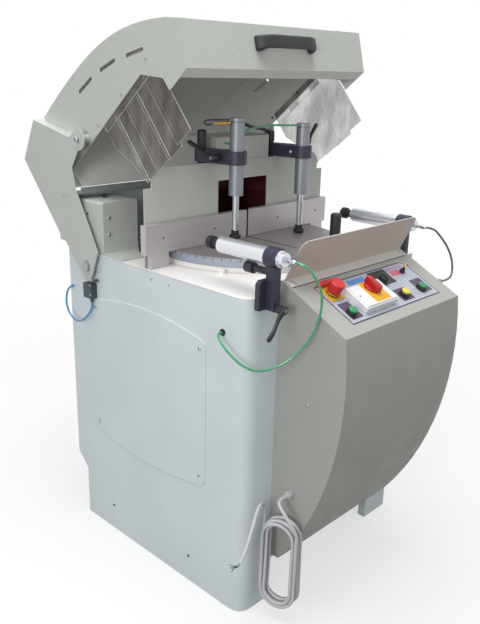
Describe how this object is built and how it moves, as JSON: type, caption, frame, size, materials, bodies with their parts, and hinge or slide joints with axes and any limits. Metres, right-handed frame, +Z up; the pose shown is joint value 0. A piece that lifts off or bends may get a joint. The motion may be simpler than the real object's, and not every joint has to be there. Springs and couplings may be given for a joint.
{
  "type": "single-head cut-off saw",
  "caption": "Pedestal cut-off saw with an up-cutting blade, turntable, fence, air clamps, sloping console and a swing-down hood standing open.",
  "frame": {"origin": "centre of the cabinet's footprint on the floor", "axes": "+Z up, -Y towards the operator and the sloping console, +X to the operator's right, parallel to the fence"},
  "size_m": [0.8425, 1.151, 1.5268],
  "materials": {
    "cabinet_paint": "pale blue-white powder coat",
    "console_paint": "warm grey powder coat",
    "grey_paint": "fine-textured grey powder coat",
    "guard_paint": "dark satin paint",
    "machined_aluminium": "machined",
    "bright_aluminium": "bright drawn tube",
    "grey_anodised": "grey anodised",
    "dark_bracket": "dark blue-black anodised",
    "table_steel": "ground",
    "blade_steel": "ground",
    "rod_steel": "polished rod, black rubber pad",
    "motor_paint": "satin paint",
    "cast_arm": "as cast, painted",
    "black_plastic": "satin",
    "white_plastic": "satin",
    "red_plastic": "satin",
    "green_plastic": "satin",
    "yellow_plastic": "satin",
    "clear_strip": "clear flexible strip",
    "cable_sheath": "matt grey sheath",
    "green_hose": "satin",
    "dark_green_hose": "satin",
    "blue_hose": "satin"
  },
  "bodies": {
    "cabinet": {"base_frame": "cabinet_paint", "left_side_panel": "cabinet_paint", "right_side_panel": "cabinet_paint", "top_plate": "cabinet_paint", "access_cover": "cabinet_paint", "rear_cover": "cabinet_paint", "rear_wall": "cabinet_paint", "hinge_box_left": "cabinet_paint", "hinge_box_right": "cabinet_paint", "console_shell": "console_paint", "deflector": "grey_paint", "back_plate": "grey_paint", "blade_guard": "guard_paint", "fence_left": "machined_aluminium", "fence_right": "machined_aluminium", "clamp_post_left": "dark_bracket", "clamp_post_right": "dark_bracket", "side_clamp_left": "dark_bracket", "side_clamp_right": "dark_bracket", "side_barrel_left": "bright_aluminium", "side_barrel_right": "bright_aluminium", "limit_valve": "black_plastic", "cable_gland": "black_plastic", "switch_box": "white_plastic", "cable_lead": "cable_sheath", "cable_hank": "cable_sheath", "cable_tail": "cable_sheath", "hose_left": "green_hose", "hose_right": "dark_green_hose", "hose_top": "green_hose", "hose_blue": "blue_hose"},
    "hood": {"hood_shell": "grey_paint", "hood_arm_left": "grey_paint", "hood_arm_right": "grey_paint", "curtain_left": "clear_strip", "curtain_right": "clear_strip", "hood_handle": "black_plastic"},
    "turntable": {"turntable": "table_steel", "table_handle": "black_plastic", "saw_hanger": "motor_paint"},
    "saw_arm": {"saw_arm": "cast_arm"},
    "saw_blade": {"saw_blade": "blade_steel"},
    "clamp_arm_left": {"clamp_arm_left": "dark_bracket", "top_barrel_left": "grey_anodised"},
    "clamp_arm_right": {"clamp_arm_right": "dark_bracket", "top_barrel_right": "grey_anodised"},
    "top_rod_left": {"top_rod_left": "rod_steel"},
    "top_rod_right": {"top_rod_right": "rod_steel"},
    "top_lever_left": {"top_lever_left": "black_plastic"},
    "top_lever_right": {"top_lever_right": "black_plastic"},
    "side_rod_left": {"side_rod_left": "rod_steel"},
    "side_rod_right": {"side_rod_right": "rod_steel"},
    "side_lever_left": {"side_lever_left": "black_plastic"},
    "side_lever_right": {"side_lever_right": "black_plastic"},
    "estop_button": {"estop_button": "red_plastic"},
    "start_button_left": {"start_button_left": "green_plastic"},
    "start_button_right": {"start_button_right": "green_plastic"},
    "reset_button": {"reset_button": "yellow_plastic"},
    "main_switch": {"main_switch": "red_plastic"},
    "mode_selector": {"mode_selector": "black_plastic"}
  },
  "joints": [
    {"name": "hood_hinge", "type": "hinge", "parent": "cabinet", "child": "hood", "pos_m": [0, 0.279, 0.862], "axis": [1, 0, 0], "range_deg": [0, 40]},
    {"name": "table_turn", "type": "hinge", "parent": "cabinet", "child": "turntable", "pos_m": [-0.002, 0.01, 0.915], "axis": [0, 0, 1], "range_deg": [-45, 30]},
    {"name": "saw_lift", "type": "hinge", "parent": "turntable", "child": "saw_arm", "pos_m": [0.039, 0.209, 0.785], "axis": [1, 0, 0], "range_deg": [-50, 0]},
    {"name": "blade_spin", "type": "hinge", "parent": "saw_arm", "child": "saw_blade", "pos_m": [-0.002, 0.02796, 0.7], "axis": [1, 0, 0], "continuous": true},
    {"name": "clamp_swing_left", "type": "hinge", "parent": "cabinet", "child": "clamp_arm_left", "pos_m": [-0.147, 0.055, 1.185], "axis": [0, 0, 1], "range_deg": [-12, 12]},
    {"name": "clamp_swing_right", "type": "hinge", "parent": "cabinet", "child": "clamp_arm_right", "pos_m": [0.141, 0.055, 1.185], "axis": [0, 0, 1], "range_deg": [0, 15]},
    {"name": "top_rod_left_slide", "type": "slide", "parent": "clamp_arm_left", "child": "top_rod_left", "axis": [0, 0, -1], "range_m": [-0.09, 0.02]},
    {"name": "top_rod_right_slide", "type": "slide", "parent": "clamp_arm_right", "child": "top_rod_right", "axis": [0, 0, -1], "range_m": [-0.09, 0.001]},
    {"name": "top_lever_left_turn", "type": "hinge", "parent": "clamp_arm_left", "child": "top_lever_left", "pos_m": [-0.2, -0.022, 1.185], "axis": [1, 0, 0], "range_deg": [-10, 60]},
    {"name": "top_lever_right_turn", "type": "hinge", "parent": "cabinet", "child": "top_lever_right", "pos_m": [0.141, 0.055, 1.22], "axis": [0, 0, 1], "range_deg": [-40, 15]},
    {"name": "side_rod_left_slide", "type": "slide", "parent": "cabinet", "child": "side_rod_left", "axis": [0, -1, 0], "range_m": [-0.12, 0.003]},
    {"name": "side_rod_right_slide", "type": "slide", "parent": "cabinet", "child": "side_rod_right", "axis": [0, -1, 0], "range_m": [-0.12, 0.003]},
    {"name": "side_lever_left_turn", "type": "hinge", "parent": "cabinet", "child": "side_lever_left", "pos_m": [-0.317, -0.4053, 0.879], "axis": [0, 1, 0], "range_deg": [-30, 30]},
    {"name": "side_lever_right_turn", "type": "hinge", "parent": "cabinet", "child": "side_lever_right", "pos_m": [0.272, -0.3873, 0.879], "axis": [0, 1, 0], "range_deg": [-30, 30]},
    {"name": "estop_push", "type": "slide", "parent": "cabinet", "child": "estop_button", "axis": [0, 0.4467, -0.8947], "range_m": [0, 0.005], "stiffness_N_per_m": 900, "springref_m": -0.003},
    {"name": "start_push_left", "type": "slide", "parent": "cabinet", "child": "start_button_left", "axis": [0, 0.4467, -0.8947], "range_m": [0, 0.003], "stiffness_N_per_m": 500, "springref_m": -0.002},
    {"name": "start_push_right", "type": "slide", "parent": "cabinet", "child": "start_button_right", "axis": [0, 0.4467, -0.8947], "range_m": [0, 0.003], "stiffness_N_per_m": 500, "springref_m": -0.002},
    {"name": "reset_push", "type": "slide", "parent": "cabinet", "child": "reset_button", "axis": [0, 0.4467, -0.8947], "range_m": [0, 0.003], "stiffness_N_per_m": 500, "springref_m": -0.002},
    {"name": "main_switch_turn", "type": "hinge", "parent": "cabinet", "child": "main_switch", "pos_m": [-0.048, -0.46211, 0.87638], "axis": [0, -0.4467, 0.8947], "range_deg": [0, 90]},
    {"name": "mode_selector_turn", "type": "hinge", "parent": "cabinet", "child": "mode_selector", "pos_m": [0.046, -0.44243, 0.88621], "axis": [0, -0.4467, 0.8947], "range_deg": [-45, 45]}
  ]
}
